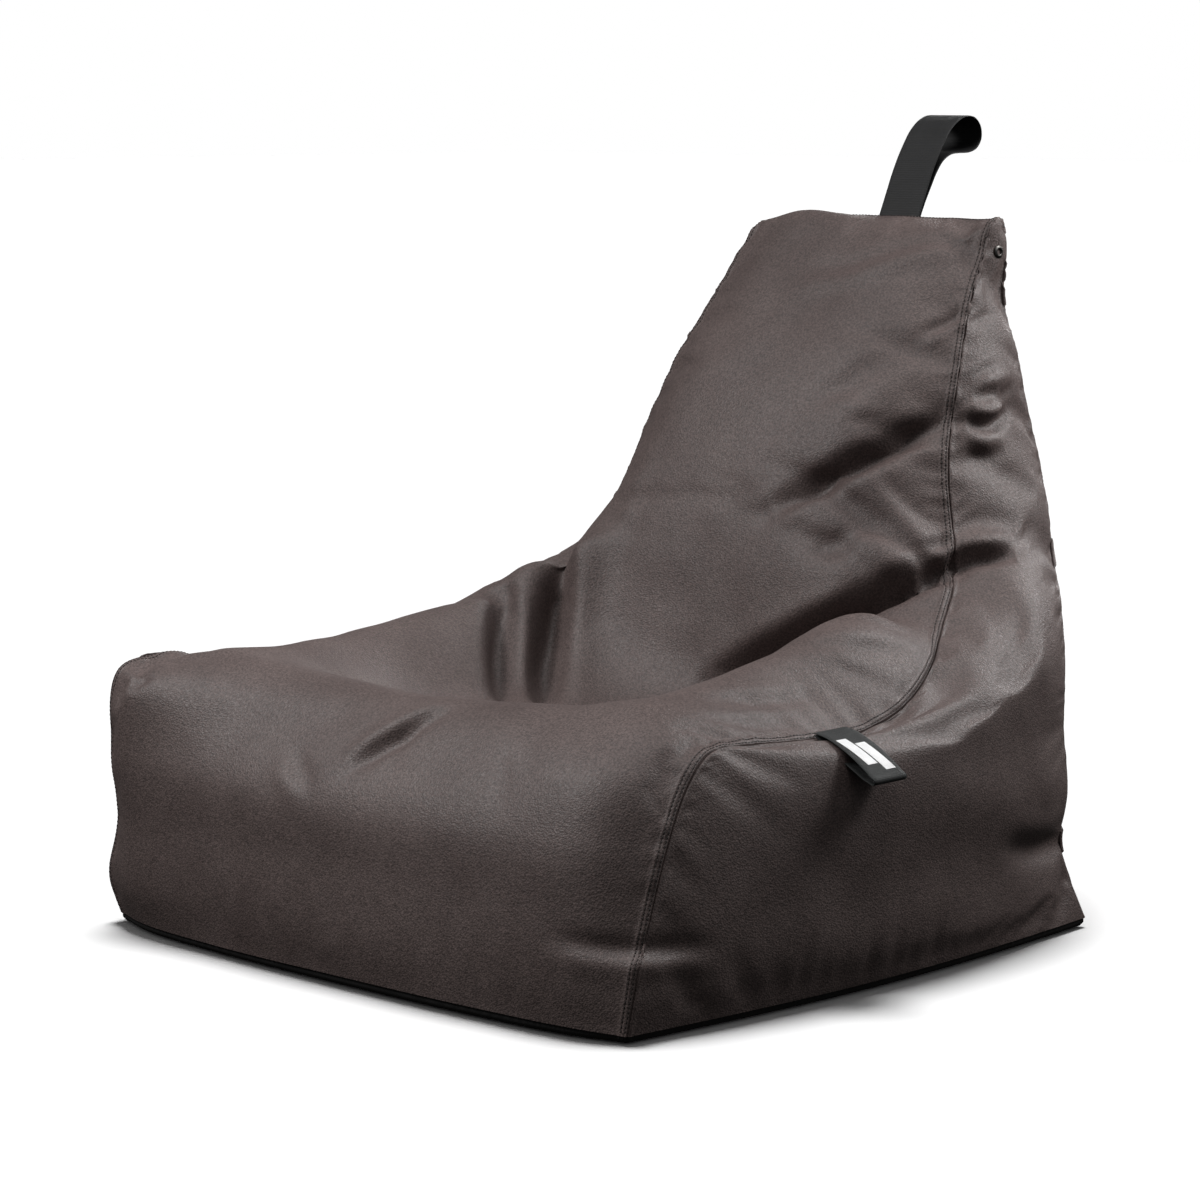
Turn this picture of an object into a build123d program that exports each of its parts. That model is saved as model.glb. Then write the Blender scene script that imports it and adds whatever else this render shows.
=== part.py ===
"""High-back bean bag chair.

A leatherette cover of sewn panels holds a fabric liner, and the liner holds loose foam beads.
The cover closes with a zip across the lower rear, and so does the liner. A webbing loop is sewn
into the top rear seam for carrying, and a folded label into the seam along the sitter's left arm.

Frame: millimetres, +Z up, origin at the centre of the base panel on the floor. The sitter faces
-Y, so +X is the sitter's left.
"""

import os

from build123d import *

# ------------------------------------------------------------------ driving dimensions
BASE_HALF_DEPTH = 392  # footprint, front to rear, is twice this
BASE_HALF_WIDTH = 426  # at the floor
ARM_HALF_WIDTH = 407  # at the arm seams
ARM_Z = 296  # arm seams above the floor
SHOULDER_HALF_WIDTH = 268  # where the arms turn up into the backrest
SHOULDER_Z = 420
TOP_Z = 815  # top edge of the backrest
TOP_FRONT_Y = 499
TOP_REAR_Y = 540
SIDE_TAPER = 0.2586  # how far each side of the backrest leans in, per mm of height

SEAT_RADIUS = 300  # ball-shaped hollow for the sitter
SEAT_CENTRE = (0, 30, 495)

COVER_T = 1.4  # leatherette
LINER_INSET = 5.0  # liner's outer face, inside the cover's outer face
LINER_T = 0.6
FILL_INSET = 6.0

BASE_LIP_Z = 12  # the base panel turns up this far
TOP_SEAM_Y = 532  # seam between the seat panel and the rear panel, along the top edge

HANDLE_WIDTH = 65
WEBBING_T = 2.0
HANDLE_AXIS_Z = TOP_Z + 3.3  # the strap flexes about this line
HANDLE_TAIL_DEPTH = 18  # sewn in below the top seam
HANDLE_TAIL_REACH = 1  # the tails end this far above the top edge
HANDLE_STEM = [(0, 0), (11, 36), (25, 65)]  # rearwards and up from the strap's axis
HANDLE_STEM_RADIUS = 90
HANDLE_LOOP = [(23, 61), (48, 112), (88, 141), (124, 134), (116, 92), (66, 86)]
HANDLE_LOOP_RADII = [1.2, 60, 22, 16, 14, 30]
PATCH_HALF_WIDTH = 45
PATCH_T = 1.0
PATCH_DEPTHS = (70, 20)  # its lower and upper edges, below the top edge

LABEL_WIDTH = 55
LABEL_Y = -55
LABEL_REACH = 92
LABEL_DROP = 34
LABEL_T = 1.0
LABEL_FOLD = 2.4  # between the two layers at the fold
LABEL_ROOT_GAP = 2.2  # between them at the seam
LABEL_STAND_OFF = 4.5  # from the arm seam's half width to the strip's root
CARE_LABEL_INSETS = (2.6, 2.9)

EYELET_Y = 509
EYELET_Z = 772
EYELET_BORE_R = 3.5
EYELET_BARREL_R = 4.5
EYELET_FLANGE_R = 8.0
EYELET_FLANGE_T = 0.8
EYELET_BARREL_LENGTH = 3.0
EYELET_FIT = 0.1

COVER_ZIP_Z = 78
COVER_ZIP_HALF = 300
LINER_ZIP_Z = 150
LINER_ZIP_HALF = 200
TOOTH_PITCH = 4.0
TOOTH_WIDTH = 1.8  # along the zip
TOOTH_TIP = 1.1  # how far a tooth reaches past the zip's centre line
TOOTH_BACK = 2.6  # from the centre line to the tape's edge
TAPE_REACH = 17  # from the centre line to the tape's outer edge
ZIP_SLOT = 10  # half the gap that each panel leaves for its zip
ZIP_ENDS = (4, 16)  # tape and gap run this far past the bottom and top ends of the teeth
REAR_BAND = (300, 400)  # takes in the lower rear face and nothing in front of it
STOP_LENGTH = 3.0
TOP_STOP_LENGTH = 2.4
TOP_STOP_WIDTH = 1.6

SLIDER_LENGTH = 16
SLIDER_HALF_WIDTH = 6
SLIDER_SETBACK = 3  # slider's centre behind the last tooth when the zip is closed
SLIDER_CORNER_R = 3
SLIDER_RIM = 1.2  # each wing's turned-in edge
SLIDER_WEDGE = (1.8, 1.4)
SLIDER_WEDGE_SETBACK = 2.3  # from the nose to the wedge's centre
CROWN_SLOT = (9, 2.4)
CROWN_HOLE = (6, 0.9)
CROWN_HEIGHT = 2.4

GARAGE_LENGTH = 34
GARAGE_WALL = 2.0
GARAGE_DEPTH = 5.6
GARAGE_HOLLOW_DEPTH = 4.2

REACH = 800  # longer than anything in the chair, for cutting solids

# ------------------------------------------------------------------ outlines of the bag
SIDE_CORNERS = [
    (-BASE_HALF_DEPTH, 0),
    (-BASE_HALF_DEPTH, ARM_Z),
    (110, ARM_Z + 6),
    (300, SHOULDER_Z),
    (TOP_FRONT_Y, TOP_Z),
    (TOP_REAR_Y, TOP_Z),
    (TOP_REAR_Y - 4, 500),
    (BASE_HALF_DEPTH, 300),
    (BASE_HALF_DEPTH, 0),
]
SIDE_RADII = [45, 80, 220, 120, 14, 16, 200, 150, 45]

OUTLINE_FOOT_Z = -60  # the front outline runs on past the floor and the top edge
OUTLINE_HEAD_Z = TOP_Z + 100
HEAD_HALF_WIDTH = SHOULDER_HALF_WIDTH - SIDE_TAPER * (OUTLINE_HEAD_Z - SHOULDER_Z)
RIGHT_OF_FRONT = [
    (BASE_HALF_WIDTH + 3, OUTLINE_FOOT_Z),
    (ARM_HALF_WIDTH, ARM_Z + 22),
    (SHOULDER_HALF_WIDTH, SHOULDER_Z),
    (HEAD_HALF_WIDTH, OUTLINE_HEAD_Z),
]
FRONT_CORNERS = RIGHT_OF_FRONT + [(-x, z) for x, z in reversed(RIGHT_OF_FRONT)]
FRONT_RADII = [0, 60, 60, 0, 0, 60, 60, 0]

# Passes between the seat panel and the rear panel: through the top seam and down inside the bag.
REAR_DIVIDER = [
    (TOP_SEAM_Y, TOP_Z + 40),
    (TOP_SEAM_Y, TOP_Z - 20),
    (440, 480),
    (300, 250),
    (300, -40),
    (REACH, -40),
    (REACH, TOP_Z + 40),
]


def side_prism(inset):
    """The side outline moved in by inset, through the whole width."""
    with BuildPart() as prism:
        with BuildSketch(Plane.YZ):
            with BuildLine():
                FilletPolyline(*SIDE_CORNERS, radius=SIDE_RADII, close=True)
            make_face()
            if inset:
                offset(amount=-inset)
        extrude(amount=REACH, both=True)
    return prism.part


def front_prism(inset):
    """The front outline moved in by inset, through the whole depth."""
    with BuildPart() as prism:
        with BuildSketch(Plane.XZ):
            with BuildLine():
                FilletPolyline(*FRONT_CORNERS, radius=FRONT_RADII, close=True)
            make_face()
            if inset:
                offset(amount=-inset)
        extrude(amount=REACH, both=True)
    return prism.part


def envelope(inset):
    """The bag's filled shape, with every face moved in by inset."""
    with BuildPart() as bag:
        add(side_prism(inset))
        add(front_prism(inset), mode=Mode.INTERSECT)
        with Locations(SEAT_CENTRE):
            Sphere(SEAT_RADIUS + inset, mode=Mode.SUBTRACT)
    return bag.part


def skin(outer_inset, inner_inset):
    """A sewn layer between two insets, as one closed shell."""
    with BuildPart() as layer:
        add(envelope(outer_inset))
        add(envelope(inner_inset), mode=Mode.SUBTRACT)
    return layer.part


def region(x_range, y_range, z_range):
    """A box between three pairs of limits."""
    size = [high - low for low, high in (x_range, y_range, z_range)]
    centre = Vector(*[(high + low) / 2 for low, high in (x_range, y_range, z_range)])
    with BuildPart() as box:
        with Locations(centre):
            Box(*size)
    return box.part


def side_panel(layer, inner_inset, side):
    """The part of a layer outside the inner front outline, on one side (+1 is the sitter's left)."""
    with BuildPart() as panel:
        add(layer)
        add(front_prism(inner_inset), mode=Mode.SUBTRACT)
        split(bisect_by=Plane.YZ, keep=Keep.TOP if side > 0 else Keep.BOTTOM)
        split(bisect_by=Plane.XY.offset(BASE_LIP_Z), keep=Keep.TOP)
    return panel.part


def middle_panel(layer, inner_inset, rear):
    """The part of a layer between the side panels: the rear panel, or the front, seat and backrest."""
    with BuildPart() as divider:
        with BuildSketch(Plane.YZ):
            with BuildLine():
                Polyline(*REAR_DIVIDER, close=True)
            make_face()
        extrude(amount=REACH, both=True)
    with BuildPart() as panel:
        add(layer)
        add(front_prism(inner_inset), mode=Mode.INTERSECT)
        add(divider.part, mode=Mode.INTERSECT if rear else Mode.SUBTRACT)
        split(bisect_by=Plane.XY.offset(BASE_LIP_Z), keep=Keep.TOP)
    return panel.part


def zip_length(half_length):
    """The limits along X of a zip's tapes and of the gap that shows its teeth."""
    return (-half_length - ZIP_ENDS[0], half_length + ZIP_ENDS[1])


def zip_slot(half_length, z):
    """The gap left in a rear panel for a zip."""
    return region(zip_length(half_length), REAR_BAND, (z - ZIP_SLOT, z + ZIP_SLOT))


def export(part, name):
    """Labels a finished piece and writes it as its own node."""
    part.label = name
    export_step(part, f"parts/{name}.step")


os.makedirs("parts", exist_ok=True)

cover = skin(0, COVER_T)
liner = skin(LINER_INSET, LINER_INSET + LINER_T)
liner_front_inset = LINER_INSET + LINER_T

# ------------------------------------------------------------------ carry handle
tail_low = TOP_Z - HANDLE_TAIL_DEPTH
tail_high = TOP_Z + HANDLE_TAIL_REACH
TAIL_ROOM_HALF_WIDTH = HANDLE_WIDTH / 2 + 0.5
TAIL_ROOM_HALF_DEPTH = WEBBING_T + 0.3
tail_room = region(
    (-TAIL_ROOM_HALF_WIDTH, TAIL_ROOM_HALF_WIDTH),
    (TOP_SEAM_Y - TAIL_ROOM_HALF_DEPTH, TOP_SEAM_Y + TAIL_ROOM_HALF_DEPTH),
    (tail_low - 1, TOP_Z + 10),
)

# The two ends of the webbing, sewn into the top seam side by side.
WEBBING_GAP = 0.1
with BuildPart() as handle_tails:
    for side in (-1, 1):
        tail_y = TOP_SEAM_Y + side * (WEBBING_T + WEBBING_GAP) / 2
        with Locations((0, tail_y, (tail_low + tail_high) / 2)):
            Box(HANDLE_WIDTH, WEBBING_T, tail_high - tail_low)
export(handle_tails.part, "handle_tails")

# The free loop: a double stem that leans back and opens into a drop-shaped loop.
STEM_T = 2 * WEBBING_T + WEBBING_GAP
handle_root = (-HANDLE_WIDTH / 2, TOP_SEAM_Y, HANDLE_AXIS_Z)
handle_edge = Plane(origin=handle_root, x_dir=(0, 1, 0), z_dir=(1, 0, 0))
with BuildPart() as handle_strap:
    with BuildSketch(handle_edge):
        Circle(STEM_T / 2)
        with BuildLine():
            FilletPolyline(*HANDLE_STEM, radius=HANDLE_STEM_RADIUS)
        trace(line_width=STEM_T)
        with BuildLine():
            FilletPolyline(*HANDLE_LOOP, radius=HANDLE_LOOP_RADII, close=True)
        trace(line_width=WEBBING_T)
    extrude(amount=HANDLE_WIDTH)
export(handle_strap.part, "handle_strap")

# A patch inside the rear panel spreads the handle's pull.
patch_low, patch_high = [TOP_Z - depth for depth in PATCH_DEPTHS]
patch_sides = (-PATCH_HALF_WIDTH, PATCH_HALF_WIDTH)
with BuildPart() as handle_backing_patch:
    add(skin(COVER_T, COVER_T + PATCH_T))
    add(region(patch_sides, (TOP_FRONT_Y + 1, REACH), (patch_low, patch_high)), mode=Mode.INTERSECT)
export(handle_backing_patch.part, "handle_backing_patch")

# ------------------------------------------------------------------ breather eyelets
eyelet_x = SHOULDER_HALF_WIDTH - SIDE_TAPER * (EYELET_Z - SHOULDER_Z)


def eyelet_plane(side):
    """A plane on the backrest's side face, facing out, at the eyelet."""
    centre = (side * eyelet_x, EYELET_Y, EYELET_Z)
    return Plane(origin=centre, z_dir=(side, 0, SIDE_TAPER), x_dir=(0, 1, 0))


with BuildPart() as breather_eyelets:
    for side in (-1, 1):
        with BuildSketch(eyelet_plane(side)):
            Circle(EYELET_FLANGE_R)
            Circle(EYELET_BORE_R, mode=Mode.SUBTRACT)
        extrude(amount=EYELET_FLANGE_T)
        with BuildSketch(eyelet_plane(side)):
            Circle(EYELET_BARREL_R - EYELET_FIT)
            Circle(EYELET_BORE_R, mode=Mode.SUBTRACT)
        extrude(amount=-EYELET_BARREL_LENGTH)
export(breather_eyelets.part, "breather_eyelets")

with BuildPart() as eyelet_washers:
    for side in (-1, 1):
        with BuildSketch(eyelet_plane(side).offset(-COVER_T - EYELET_FIT)):
            Circle(EYELET_FLANGE_R - 0.5)
            Circle(EYELET_BARREL_R, mode=Mode.SUBTRACT)
        extrude(amount=-EYELET_FLANGE_T)
export(eyelet_washers.part, "eyelet_washers")

# ------------------------------------------------------------------ cover panels
with BuildPart() as base_panel:
    add(cover)
    split(bisect_by=Plane.XY.offset(BASE_LIP_Z), keep=Keep.BOTTOM)
export(base_panel.part, "base_panel")

for side, side_name in ((1, "left_side_panel"), (-1, "right_side_panel")):
    with BuildPart() as cover_side:
        add(side_panel(cover, COVER_T, side))
        with Locations(eyelet_plane(side)):
            Hole(EYELET_BARREL_R, depth=10)
    export(cover_side.part, side_name)

with BuildPart() as seat_panel:
    add(middle_panel(cover, COVER_T, rear=False))
    add(tail_room, mode=Mode.SUBTRACT)
export(seat_panel.part, "seat_panel")

rear_cover = middle_panel(cover, COVER_T, rear=True)
for half_name, half_keep in (("rear_panel_upper", Keep.TOP), ("rear_panel_lower", Keep.BOTTOM)):
    with BuildPart() as rear_half:
        add(rear_cover)
        split(bisect_by=Plane.XY.offset(COVER_ZIP_Z), keep=half_keep)
        add(zip_slot(COVER_ZIP_HALF, COVER_ZIP_Z), mode=Mode.SUBTRACT)
        add(tail_room, mode=Mode.SUBTRACT)
    export(rear_half.part, half_name)

# ------------------------------------------------------------------ liner panels
with BuildPart() as liner_base_panel:
    add(liner)
    split(bisect_by=Plane.XY.offset(BASE_LIP_Z), keep=Keep.BOTTOM)
export(liner_base_panel.part, "liner_base_panel")

for side, side_name in ((1, "liner_left_side_panel"), (-1, "liner_right_side_panel")):
    with BuildPart() as liner_side:
        add(side_panel(liner, liner_front_inset, side))
    export(liner_side.part, side_name)

with BuildPart() as liner_seat_panel:
    add(middle_panel(liner, liner_front_inset, rear=False))
    add(tail_room, mode=Mode.SUBTRACT)
export(liner_seat_panel.part, "liner_seat_panel")

with BuildPart() as liner_rear_panel:
    add(middle_panel(liner, liner_front_inset, rear=True))
    add(zip_slot(LINER_ZIP_HALF, LINER_ZIP_Z), mode=Mode.SUBTRACT)
    add(tail_room, mode=Mode.SUBTRACT)
export(liner_rear_panel.part, "liner_rear_panel")

# ------------------------------------------------------------------ zips


def zip_tape(half_length, z, tape_y, tape_t, side):
    """One woven tape, sewn behind the panel's edge. side is +1 above the teeth, -1 below."""
    low, high = sorted((z + side * TOOTH_BACK, z + side * TAPE_REACH))
    return region(zip_length(half_length), (tape_y - tape_t / 2, tape_y + tape_t / 2), (low, high))


def zip_teeth(half_length, z, tape_y, tooth_half_t):
    """Both rows of moulded teeth, closed: each tooth stands between two of the other row."""
    count = round(2 * half_length / TOOTH_PITCH)
    tooth_length = TOOTH_BACK + TOOTH_TIP
    with BuildPart() as teeth:
        for side in (-1, 1):
            shift = side * TOOTH_PITCH / 4
            tooth_z = z + side * (TOOTH_BACK - TOOTH_TIP) / 2
            with Locations((shift, tape_y, tooth_z)):
                with GridLocations(TOOTH_PITCH, 1, count, 1):
                    Box(TOOTH_WIDTH, 2 * tooth_half_t, tooth_length)
    return teeth.part


def zip_stops(half_length, z, tape_y, tooth_half_t):
    """A bottom stop across both rows, and a top stop on each tape, past the closed slider."""
    top_x = half_length - SLIDER_SETBACK + SLIDER_LENGTH / 2 + 2
    bottom_x = -half_length - 2
    with BuildPart() as stops:
        with Locations((bottom_x, tape_y, z)):
            Box(STOP_LENGTH, 2 * tooth_half_t, 2 * TOOTH_BACK)
        for side in (-1, 1):
            with Locations((top_x, tape_y, z + side * (TOOTH_BACK - TOP_STOP_WIDTH / 2))):
                Box(TOP_STOP_LENGTH, 2 * tooth_half_t, TOP_STOP_WIDTH)
    return stops.part


def zip_slider(half_length, z, tape_y, channel_half_t, wing_t, tape_gap):
    """A slider: two wings joined by the wedge at its nose."""
    centre_x = half_length - SLIDER_SETBACK
    outer_half_t = channel_half_t + wing_t
    channel_width = 2 * (SLIDER_HALF_WIDTH - SLIDER_RIM)
    with BuildPart() as slider:
        with BuildSketch(Plane.XZ.offset(-tape_y - outer_half_t)):
            with Locations((centre_x, z)):
                RectangleRounded(SLIDER_LENGTH, 2 * SLIDER_HALF_WIDTH, SLIDER_CORNER_R)
        extrude(amount=2 * outer_half_t)
        with Locations((centre_x, tape_y, z)):
            Box(2 * SLIDER_LENGTH, 2 * channel_half_t, channel_width, mode=Mode.SUBTRACT)
            Box(2 * SLIDER_LENGTH, tape_gap, 2 * REACH, mode=Mode.SUBTRACT)
        with BuildSketch(Plane.XZ.offset(-tape_y - channel_half_t)):
            with Locations((centre_x + SLIDER_LENGTH / 2 - SLIDER_WEDGE_SETBACK, z)):
                Ellipse(*SLIDER_WEDGE)
        extrude(amount=2 * channel_half_t)
    return slider.part


COVER_TAPE_T = 0.7
COVER_TAPE_Y = BASE_HALF_DEPTH - COVER_T - COVER_TAPE_T / 2
COVER_TOOTH_HALF_T = 1.2
COVER_CHANNEL_HALF_T = 1.6
COVER_WING_T = 0.9
for side, tape_name in ((1, "cover_zip_tape_upper"), (-1, "cover_zip_tape_lower")):
    export(zip_tape(COVER_ZIP_HALF, COVER_ZIP_Z, COVER_TAPE_Y, COVER_TAPE_T, side), tape_name)
export(zip_teeth(COVER_ZIP_HALF, COVER_ZIP_Z, COVER_TAPE_Y, COVER_TOOTH_HALF_T), "cover_zip_teeth")
export(zip_stops(COVER_ZIP_HALF, COVER_ZIP_Z, COVER_TAPE_Y, COVER_TOOTH_HALF_T), "cover_zip_stops")
# The cover's slider is child resistant: its crown stays empty, and a paper clip opens it.
crown_y = COVER_TAPE_Y + COVER_CHANNEL_HALF_T + 2 * COVER_WING_T
slider_sizes = (COVER_CHANNEL_HALF_T, COVER_WING_T, COVER_TAPE_T + 0.6)
with BuildPart() as cover_slider:
    add(zip_slider(COVER_ZIP_HALF, COVER_ZIP_Z, COVER_TAPE_Y, *slider_sizes))
    with BuildSketch(Plane.XY.offset(COVER_ZIP_Z - CROWN_HEIGHT / 2)):
        with Locations((COVER_ZIP_HALF - SLIDER_SETBACK, crown_y)):
            SlotOverall(*CROWN_SLOT)
            SlotOverall(*CROWN_HOLE, mode=Mode.SUBTRACT)
    extrude(amount=CROWN_HEIGHT)
export(cover_slider.part, "cover_zip_slider")

LINER_TAPE_T = 0.5
LINER_TAPE_Y = BASE_HALF_DEPTH - LINER_INSET - LINER_T / 2
LINER_TOOTH_HALF_T = 0.9
LINER_CHANNEL_HALF_T = 1.3
LINER_WING_T = 0.7
for side, tape_name in ((1, "liner_zip_tape_upper"), (-1, "liner_zip_tape_lower")):
    with BuildPart() as liner_tape:
        add(zip_tape(LINER_ZIP_HALF, LINER_ZIP_Z, LINER_TAPE_Y, LINER_TAPE_T, side))
        low, high = sorted((LINER_ZIP_Z + side * ZIP_SLOT, LINER_ZIP_Z + side * REACH))
        add(region((-REACH, REACH), (0, REACH), (low, high)), mode=Mode.SUBTRACT)
    export(liner_tape.part, tape_name)
export(zip_teeth(LINER_ZIP_HALF, LINER_ZIP_Z, LINER_TAPE_Y, LINER_TOOTH_HALF_T), "liner_zip_teeth")
export(zip_stops(LINER_ZIP_HALF, LINER_ZIP_Z, LINER_TAPE_Y, LINER_TOOTH_HALF_T), "liner_zip_stops")
slider_sizes = (LINER_CHANNEL_HALF_T, LINER_WING_T, LINER_TAPE_T + 0.6)
export(zip_slider(LINER_ZIP_HALF, LINER_ZIP_Z, LINER_TAPE_Y, *slider_sizes), "liner_zip_slider")

# A pocket of leatherette hides the cover's slider when the zip is closed.
with BuildPart() as zip_garage:
    garage_x = COVER_ZIP_HALF - SLIDER_SETBACK + 9
    with Locations((garage_x, BASE_HALF_DEPTH + GARAGE_DEPTH / 2, COVER_ZIP_Z)):
        Box(GARAGE_LENGTH, GARAGE_DEPTH, GARAGE_LENGTH)
    hollow_x = garage_x - 2 * GARAGE_WALL
    with Locations((hollow_x, BASE_HALF_DEPTH + GARAGE_HOLLOW_DEPTH / 2, COVER_ZIP_Z)):
        Box(GARAGE_LENGTH, GARAGE_HOLLOW_DEPTH, GARAGE_LENGTH - 2 * GARAGE_WALL, mode=Mode.SUBTRACT)
    fillet(zip_garage.edges().filter_by(Axis.Y).group_by(Axis.X)[-1], radius=1.2)
export(zip_garage.part, "zip_garage")

# ------------------------------------------------------------------ bead filling
with BuildPart() as bead_fill:
    add(envelope(FILL_INSET))
    add(tail_room, mode=Mode.SUBTRACT)
    # Room behind the liner's zip for its teeth and slider.
    groove_y = LINER_TAPE_Y - 2.6
    groove = region(
        (-LINER_ZIP_HALF - 6, LINER_ZIP_HALF + 18),
        (groove_y, BASE_HALF_DEPTH),
        (LINER_ZIP_Z - SLIDER_HALF_WIDTH - 1, LINER_ZIP_Z + SLIDER_HALF_WIDTH + 1),
    )
    add(groove, mode=Mode.SUBTRACT)
export(bead_fill.part, "bead_fill")

# ------------------------------------------------------------------ labels
# The outer label is a folded strip whose two ends are caught in the left arm seam.
label_root = (ARM_HALF_WIDTH + LABEL_STAND_OFF, LABEL_Y + LABEL_WIDTH / 2, ARM_Z - 4)
LABEL_CORNERS = [
    (0, 0),
    (LABEL_REACH / 2, -LABEL_DROP * 0.3),
    (LABEL_REACH, -LABEL_DROP),
    (LABEL_REACH - 1, -LABEL_DROP - LABEL_FOLD),
    (LABEL_REACH / 2 - 1, -LABEL_DROP * 0.3 - LABEL_FOLD),
    (0, -LABEL_ROOT_GAP),
]
with BuildPart() as side_label:
    with BuildSketch(Plane(origin=label_root, x_dir=(1, 0, 0), z_dir=(0, -1, 0))):
        with BuildLine():
            FilletPolyline(*LABEL_CORNERS, radius=[60, 1, 1, 60])
        trace(line_width=LABEL_T)
    extrude(amount=LABEL_WIDTH)
export(side_label.part, "side_label")

# The care label hangs inside the cover, beside the zip.
with BuildPart() as care_label:
    add(skin(*CARE_LABEL_INSETS))
    add(region((150, 190), (300, 500), (112, 172)), mode=Mode.INTERSECT)
export(care_label.part, "care_label")
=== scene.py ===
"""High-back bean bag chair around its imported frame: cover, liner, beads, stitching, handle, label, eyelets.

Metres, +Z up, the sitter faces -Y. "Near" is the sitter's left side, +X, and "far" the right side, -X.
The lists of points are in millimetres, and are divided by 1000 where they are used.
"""

import math

import bmesh
import bpy
import numpy as np
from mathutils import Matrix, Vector, noise
from mathutils.bvhtree import BVHTree


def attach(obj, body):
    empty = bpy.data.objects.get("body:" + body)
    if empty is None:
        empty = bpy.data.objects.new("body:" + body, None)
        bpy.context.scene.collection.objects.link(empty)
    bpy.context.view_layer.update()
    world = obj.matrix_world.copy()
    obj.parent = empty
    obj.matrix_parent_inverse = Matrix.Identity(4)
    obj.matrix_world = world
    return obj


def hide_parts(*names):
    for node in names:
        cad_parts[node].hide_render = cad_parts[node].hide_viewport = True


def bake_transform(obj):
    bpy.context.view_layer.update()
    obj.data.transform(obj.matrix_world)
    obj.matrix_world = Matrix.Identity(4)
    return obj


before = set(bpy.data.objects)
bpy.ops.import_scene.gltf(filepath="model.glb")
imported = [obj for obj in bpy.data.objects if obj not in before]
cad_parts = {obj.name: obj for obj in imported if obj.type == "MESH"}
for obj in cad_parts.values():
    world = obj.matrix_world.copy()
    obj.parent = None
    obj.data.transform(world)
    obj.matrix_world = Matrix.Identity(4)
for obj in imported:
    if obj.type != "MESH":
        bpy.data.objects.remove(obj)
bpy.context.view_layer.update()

SCENE = bpy.context.scene

# ---------- the bag's outline, listed stations
# Each station runs across the centre strip: arm seam, roll, middle, centre line.
NEAR_FRONT = [
    [(420, -392, 10), (352, -411, 12), (210, -424, 13), (0, -428, 13)],
    [(424, -385, 55), (362, -412, 55), (210, -427, 55), (0, -431, 55)],
    [(420, -357, 129), (366, -401, 131), (210, -421, 131), (0, -426, 128)],
    [(416, -327, 199), (362, -382, 208), (210, -409, 203), (0, -417, 198)],
    [(411, -293, 256), (352, -338, 274), (205, -366, 265), (0, -376, 259)],
    [(406, -252, 289), (340, -262, 313), (200, -286, 304), (0, -300, 296)],
    [(405, -180, 290), (330, -175, 324), (190, -195, 296), (0, -205, 279)],
    [(407, -90, 283), (320, -85, 337), (170, -95, 267), (0, -100, 243)],
    [(410, 0, 282), (315, 0, 350), (165, 0, 254), (0, -5, 223)],
    [(403, 80, 299), (310, 75, 371), (160, 75, 259), (0, 70, 221)],
    [(380, 154, 329), (297, 142, 376), (160, 140, 276), (0, 140, 236)],
    [(336, 232, 364), (272, 210, 363), (160, 186, 312), (0, 185, 278)],
    [(296, 306, 412), (238, 252, 424), (150, 210, 370), (0, 207, 335)],
    [(271, 336, 458), (219, 276, 467), (145, 232, 429), (0, 226, 401)],
    [(244, 359, 529), (206, 316, 534), (130, 276, 516), (0, 262, 501)],
    [(218, 411, 653), (182, 380, 649), (115, 347, 640), (0, 333, 630)],
    [(197, 459, 733), (164, 436, 729), (100, 413, 723), (0, 404, 718)],
    [(187, 498, 792), (153, 486, 793), (95, 471, 792), (0, 466, 791)],
    [(187, 511, 824), (154, 506, 814), (92, 500, 817), (0, 499, 824)],
    [(185, 531, 832), (150, 532, 830), (90, 532, 830), (0, 532, 831)],
]
# The far side's seam, roll and middle, as on the near side: its front corner is squarer, its arm lower and
# its side of the backrest wider.
FAR_FRONT = [
    [(418, -386, 12), (356, -407, 12), (210, -423, 12)],
    [(428, -394, 52), (370, -415, 54), (210, -427, 55)],
    [(418, -388, 128), (376, -412, 131), (210, -423, 131)],
    [(422, -394, 212), (376, -414, 217), (210, -415, 206)],
    [(421, -388, 298), (372, -398, 297), (205, -376, 269)],
    [(412, -345, 320), (350, -330, 318), (200, -295, 305)],
    [(404, -222, 308), (330, -205, 314), (190, -200, 277)],
    [(402, -105, 303), (320, -95, 319), (170, -95, 247)],
    [(404, 0, 292), (315, 0, 330), (165, 0, 251)],
    [(402, 85, 294), (310, 75, 342), (160, 75, 255)],
    [(386, 160, 316), (300, 135, 364), (160, 140, 280)],
    [(344, 235, 356), (275, 190, 400), (160, 185, 322)],
    [(294, 290, 411), (246, 232, 435), (150, 210, 372)],
    [(270, 318, 462), (230, 262, 471), (145, 232, 429)],
    [(250, 340, 532), (215, 296, 534), (135, 270, 516)],
    [(226, 392, 653), (194, 362, 649), (125, 341, 640)],
    [(206, 442, 733), (174, 420, 729), (112, 407, 723)],
    [(194, 484, 792), (164, 472, 793), (106, 466, 792)],
    [(188, 502, 816), (158, 498, 824), (102, 500, 834)],
    [(182, 527, 817), (152, 529, 822), (98, 531, 826)],
]
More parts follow.
